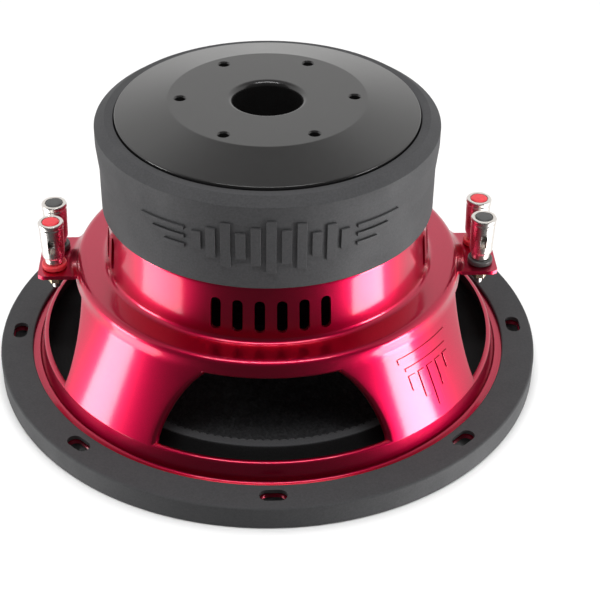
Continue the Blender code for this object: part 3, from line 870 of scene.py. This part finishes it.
def stitch_mesh(count, radius, height):
    """Short stitches laid end to end round the cone's edge."""
    bm = bmesh.new()
    for i in range(count):
        a = TURN * i / count
        place = (Matrix.Rotation(a, 4, "Z") @ Matrix.Translation((radius, 0.0, height))
                 @ Matrix.Diagonal((0.42 * MM, 1.5 * MM, 0.38 * MM, 1.0)))
        bmesh.ops.create_uvsphere(bm, u_segments=8, v_segments=6, radius=1.0, matrix=place)
    mesh = bpy.data.meshes.new("edge_stitches")
    bm.to_mesh(mesh)
    bm.free()
    return mesh


def build_suspension():
    line = rounded([
        (89.3 * MM, 13.4 * MM), (93.2 * MM, 13.2 * MM, 1.0 * MM), (95.2 * MM, 3.6 * MM, 5 * MM),
        (102.5 * MM, 1.9 * MM, 6 * MM), (109.4 * MM, 3.4 * MM, 5 * MM), (111.3 * MM, 6.8 * MM, 0.8 * MM),
        (118.0 * MM, 6.8 * MM)], closed=False, segments=8)
    surround = lathe("surround_roll", sheet_profile(line, 1.0 * MM), "foam", 192)
    settle(surround, None, "surround")
    radial_blend(surround)

    landing = lathe("surround_landing", ring(93.0 * MM, 89.0 * MM, 12.45 * MM, 13.6 * MM, 0.3 * MM), "band")
    settle(landing, "cone_assembly")
    stitches = new_object("edge_stitches", stitch_mesh(150, 87.6 * MM, 12.35 * MM), "thread")
    settle(stitches, "cone_assembly")

    middle, height, waves = 54.1 * MM, 1.4 * MM, 7
    first, last, seat = 29.5 * MM, 79.5 * MM, top("spider")
    wave = [(first + (last - first) * i / (waves * 8), middle + height * math.sin(TURN * i / 8))
            for i in range(waves * 8 + 1)]
    line = [(27.1 * MM, middle + 2.2 * MM), (27.8 * MM, middle), *wave, (80.8 * MM, seat), (87.0 * MM, seat)]
    spider = lathe("spider_weave", sheet_profile(line, 0.6 * MM), "cloth", 128)
    settle(spider, None, "spider")
    radial_blend(spider)


# Push terminals -------------------------------------------------------------------

STUD_RADIUS, STUD_HOLE, POST_RADIUS = 1.9 * MM, 2.2 * MM, 4.3 * MM
WIRE_HOLE, WIRE_HOLE_HEIGHT = 1.25 * MM, 65.6 * MM
SLOT_LENGTH, SLOT_WIDTH, SLOT_HEIGHT = 7.8 * MM, 3.0 * MM, 68.4 * MM
SPRING_RADIUS, SPRING_WIRE, SPRING_TURNS, TURN_STEPS = 3.6 * MM, 0.3 * MM, 5, 20
LUG_RADIUS, LUG_TONGUE = 3.6 * MM, 9.5 * MM
LEAD_RADIUS = 0.9 * MM
# A lead from lug to coil: distance from the middle, share of the lug's Y, drop below its start
LEAD_FALL = [(94.5, 1.0, 0.0), (89.0, 1.0, 0.2), (83.0, 1.0, 1.2), (76.0, 0.98, 3.2), (68.0, 0.95, 5.2)]
# and the rest of it, with its height instead
LEAD_END = [(60.0, 0.92, 42.4), (52.0, 0.87, 41.6), (45.0, 0.8, 41.5), (39.5, 0.73, 41.9), (35.5, 0.68, 42.6)]


def tube_mesh(name, route, radius, sides=10, steps_between=6):
    """A round tube along a smooth curve through the route's points."""
    points = [Vector(p) for p in route]
    ends = [points[0] * 2 - points[1]] + points + [points[-1] * 2 - points[-2]]
    path = []
    for i in range(1, len(ends) - 2):
        a, b, c, d = ends[i - 1:i + 3]
        for k in range(steps_between):
            t = k / steps_between
            path.append(0.5 * (2 * b + (c - a) * t + (2 * a - 5 * b + 4 * c - d) * t * t
                               + (3 * b - a - 3 * c + d) * t ** 3))
    path.append(points[-1])
    vertices, up = [], Vector((0.0, 0.0, 1.0))
    for i, p in enumerate(path):
        along = (path[min(i + 1, len(path) - 1)] - path[max(i - 1, 0)]).normalized()
        side = along.cross(up).normalized()
        over = side.cross(along)
        vertices += [p + (side * math.cos(t) + over * math.sin(t)) * radius
                     for t in (TURN * k / sides for k in range(sides))]
    faces = [(i * sides + k, i * sides + (k + 1) % sides,
              (i + 1) * sides + (k + 1) % sides, (i + 1) * sides + k)
             for i in range(len(path) - 1) for k in range(sides)]
    faces += [tuple(range(sides)), tuple(range(len(vertices) - sides, len(vertices)))]
    return mesh_from(name, vertices, faces)


def build_terminal(label, x, y, side, colour):
    name = f"terminal_{label}"
    place = Matrix.Translation((x, y, 0.0))
    plastic_finish = f"{colour}_plastic"

    def turned(part, profile, finish, closed=True, steps=64):
        return lathe(f"{name}_{part}_body", profile, finish, steps, closed, (x, y))

    high, low = top(f"{name}_collar"), foot(f"{name}_collar")
    collar = turned("collar", rounded([
        (5.85 * MM, high, 0.7 * MM), (5.9 * MM, high - 2.5 * MM, 0.3 * MM), (2.7 * MM, high - 2.5 * MM),
        (2.7 * MM, low), (STUD_HOLE, low), (STUD_HOLE, high, 0.2 * MM)]), plastic_finish)
    settle(collar, "chassis", f"{name}_collar")

    washer = ring(5.4 * MM, STUD_HOLE, foot(f"{name}_washer"), top(f"{name}_washer"))
    settle(turned("washer", washer, plastic_finish), "chassis", f"{name}_washer")

    post_top, stud_foot = top(f"{name}_post"), foot(f"{name}_post")
    post = turned("post", rounded([
        (0.0, post_top), (POST_RADIUS, post_top, 0.5 * MM), (POST_RADIUS, high + 0.3 * MM, 0.3 * MM),
        (STUD_RADIUS, high + 0.3 * MM), (STUD_RADIUS, stud_foot, 0.4 * MM), (0.0, stud_foot)],
        closed=False), "nickel", False)
    stand = Matrix.Rotation(QUARTER, 4, "X")
    hole = place @ Matrix.Translation((0.0, 0.0, WIRE_HOLE_HEIGHT)) @ stand
    cut(post, prism_mesh("hole", circle(WIRE_HOLE), -8 * MM, 8 * MM, [hole]))
    soften(post, 0.15 * MM)
    settle(post, "chassis", f"{name}_post")

    cap, skirt = top(f"{name}_sleeve"), foot(f"{name}_sleeve")
    ceiling = cap - 2.4 * MM
    sleeve = turned("sleeve", rounded([
        (4.25 * MM, cap, 0.2 * MM), (5.7 * MM, cap, 0.3 * MM), (5.98 * MM, cap - 0.5 * MM, 0.3 * MM),
        (5.98 * MM, cap - 1.6 * MM, 0.3 * MM), (5.5 * MM, cap - 1.9 * MM, 0.2 * MM),
        (5.5 * MM, cap - 2.4 * MM, 0.2 * MM), (5.8 * MM, cap - 2.9 * MM, 0.5 * MM),
        (5.3 * MM, skirt + 1.0 * MM, 0.5 * MM), (5.0 * MM, skirt, 0.15 * MM), (4.7 * MM, skirt),
        (4.7 * MM, ceiling), (0.0, ceiling),
        (0.0, ceiling + 1.2 * MM), (4.25 * MM, ceiling + 1.2 * MM)], segments=4), "nickel")
    slot = place @ Matrix.Translation((0.0, 0.0, SLOT_HEIGHT)) @ stand @ Matrix.Rotation(QUARTER, 4, "Z")
    cut(sleeve, prism_mesh("slot", capsule(SLOT_LENGTH, SLOT_WIDTH), -8 * MM, 8 * MM, [slot]))
    soften(sleeve, 0.15 * MM)
    settle(sleeve, f"push_{label}", f"{name}_sleeve")

    seat, face = foot(f"{name}_insert"), top(f"{name}_insert")
    insert = turned("insert", rounded([
        (0.0, face), (3.3 * MM, face - 0.1 * MM, 1.0 * MM), (3.95 * MM, face - 0.5 * MM, 0.2 * MM),
        (3.95 * MM, seat), (0.0, seat)], closed=False), plastic_finish, False, 48)
    settle(insert, f"push_{label}", f"{name}_insert")

    low, high = foot(f"{name}_spring") + 0.35 * MM, top(f"{name}_spring") - 0.35 * MM
    steps = SPRING_TURNS * TURN_STEPS
    route = [(x + SPRING_RADIUS * math.cos(TURN * i / TURN_STEPS),
              y + SPRING_RADIUS * math.sin(TURN * i / TURN_STEPS),
              low + (high - low) * i / steps) for i in range(steps + 1)]
    coil = f"{name}_spring_coil"
    spring = new_object(coil, tube_mesh(coil, route, SPRING_WIRE, 8, 1), "zinc")
    settle(spring, None, f"{name}_spring")
    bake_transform(spring)

    lug_low, lug_high = foot(f"{name}_lug"), top(f"{name}_lug")
    outline = [(-side * LUG_RADIUS * math.cos(a), LUG_RADIUS * math.sin(a))
               for a in (math.radians(28 + 304 * i / 20) for i in range(21))]
    outline += [(-side * LUG_TONGUE, -1.6 * MM), (-side * LUG_TONGUE, 1.6 * MM)]
    plate = f"{name}_lug_plate"
    lug = new_object(plate, prism_mesh(plate, outline, lug_low, lug_high, [place]), "nickel")
    cut(lug, prism_mesh("hole", circle(STUD_HOLE), lug_low - MM, lug_high + MM, [place]))
    soften(lug, 0.15 * MM)
    settle(lug, "chassis", f"{name}_lug")

    nut_low, nut_high = foot(f"{name}_nut"), top(f"{name}_nut")
    body = f"{name}_nut_body"
    nut = new_object(body, prism_mesh(body, circle(4.0 * MM, 6), nut_low, nut_high, [place]), "brass")
    cut(nut, prism_mesh("hole", circle(STUD_HOLE), nut_low - MM, nut_high + MM, [place]))
    soften(nut, 0.3 * MM)
    settle(nut, "chassis", f"{name}_nut")

    build_lead(label, y, side, lug_low - 0.3 * MM - LEAD_RADIUS)


def build_lead(label, y, side, start):
    """Limp braided lead from a lug, in through the window, to the rear of the cone."""
    route = [(x, share, start - fall * MM) for x, share, fall in LEAD_FALL]
    route += [(x, share, height * MM) for x, share, height in LEAD_END]
    points = [(side * x * MM, y * share, z) for x, share, z in route]
    lead = new_object(f"lead_{label}_braid", tube_mesh(f"lead_{label}_braid", points, LEAD_RADIUS), "braid")
    settle(lead, None, f"lead_{label}")
    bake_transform(lead)


# Raised ornament: plain bars and stripes, generic ----------------------------------

def wrapped_bars(name, bars, surface, height, finish):
    """Raised bars on a curved surface. A bar is (left, right, bottom, top) on its unrolled face."""
    vertices, faces = [], []
    for left, right, low, high in bars:
        across = max(2, math.ceil((right - left) / (1.5 * MM)))
        upward = max(2, math.ceil((high - low) / (4 * MM)))
        base = len(vertices)
        layers = [[surface(left + (right - left) * i / across, low + (high - low) * j / upward, lift)
                   for j in range(upward + 1) for i in range(across + 1)] for lift in (-0.4 * MM, height)]
        vertices += layers[0] + layers[1]
        row, layer = across + 1, (across + 1) * (upward + 1)
        for j in range(upward):
            for i in range(across):
                a = base + j * row + i
                faces.append((a, a + row, a + row + 1, a + 1))
                a += layer
                faces.append((a, a + 1, a + row + 1, a + row))
        edge = list(range(across)) + [across + row * j for j in range(upward)]
        edge += [layer - 1 - i for i in range(across)] + [row * (upward - j) for j in range(upward)]
        n = len(edge)
        faces += [(base + edge[i], base + edge[(i + 1) % n],
                   base + layer + edge[(i + 1) % n], base + layer + edge[i]) for i in range(n)]
    obj = new_object(name, mesh_from(name, vertices, faces), finish)
    soften(obj, 0.18 * MM, 2, 40)
    settle(obj)


def boot_surface(across, height, lift):
    """Point on the boot's side: arc length from the near side, height, and distance proud."""
    share = (height - BOOT_SIDE_HEAD) / (BOOT_LIP_FOOT - BOOT_SIDE_HEAD)
    radius = BOOT_SIDE + (BOOT_LIP - BOOT_SIDE) * min(1.0, max(0.0, share))
    angle = across / radius
    return ((radius + lift) * math.sin(angle), -(radius + lift) * math.cos(angle), height)


def leg_surface(across, height, lift):
    """Point on the near right leg: arc length from its middle, height, and distance proud."""
    slope = (SKIRT_FOOT[0] - HEAD_RADIUS) / (WINDOW_HEAD - SKIRT_FOOT[1])
    radius = SKIRT_FOOT[0] - slope * (height - SKIRT_FOOT[1])
    angle = LEG_MIDDLE + across / radius
    normal = Vector((math.sin(angle), -math.cos(angle), slope)).normalized()
    return Vector((radius * math.sin(angle), -radius * math.cos(angle), height)) + normal * lift


def build_ornament():
    middle = 109 * MM
    heights = (9, 15, 22, 13, 19, 26, 17, 23, 12, 18, 10)
    pitch, width = 6.4 * MM, 4.2 * MM
    bars = []
    for i, tall in enumerate(heights):
        centre = (i - (len(heights) - 1) / 2) * pitch
        bars.append((centre - width / 2, centre + width / 2, middle - tall / 2 * MM, middle + tall / 2 * MM))
    edge = (len(heights) - 1) / 2 * pitch + width
    for k, long in enumerate((24, 18, 12)):
        z = middle + (4.5 - 4.5 * k) * MM
        for sign in (-1, 1):
            ends = sorted((sign * (edge + 1.5 * MM), sign * (edge + long * MM)))
            bars.append((*ends, z - 0.9 * MM, z + 0.9 * MM))
    wrapped_bars("boot_ornament", bars, boot_surface, 0.95 * MM, "boot")

    bars = [(-17 * MM, 17 * MM, 45.2 * MM, 47.6 * MM), (-14.5 * MM, 14.5 * MM, 41.4 * MM, 42.8 * MM)]
    for i, low in enumerate((33, 28, 22, 28, 33)):
        centre = (i - 2) * 6.0 * MM
        bars.append((centre - 2 * MM, centre + 2 * MM, low * MM, 39.4 * MM))
    wrapped_bars("leg_ornament", bars, leg_surface, 0.5 * MM, "red")


# Labels, places and colours of the four terminals
TERMINALS = [(f"{word}_{end}", side * TERMINAL_X, sign * TERMINAL_Y, side, colour)
             for word, side, end, sign, colour in (
                 ("left", -1, "front", -1, "red"), ("left", -1, "rear", 1, "black"),
                 ("right", 1, "front", -1, "black"), ("right", 1, "rear", 1, "red"))]

add_stage()
build_basket()
build_gasket()
build_boot()
build_back_plate()
build_motor()
build_cone()
build_suspension()
for terminal in TERMINALS:
    build_terminal(*terminal)
build_ornament()
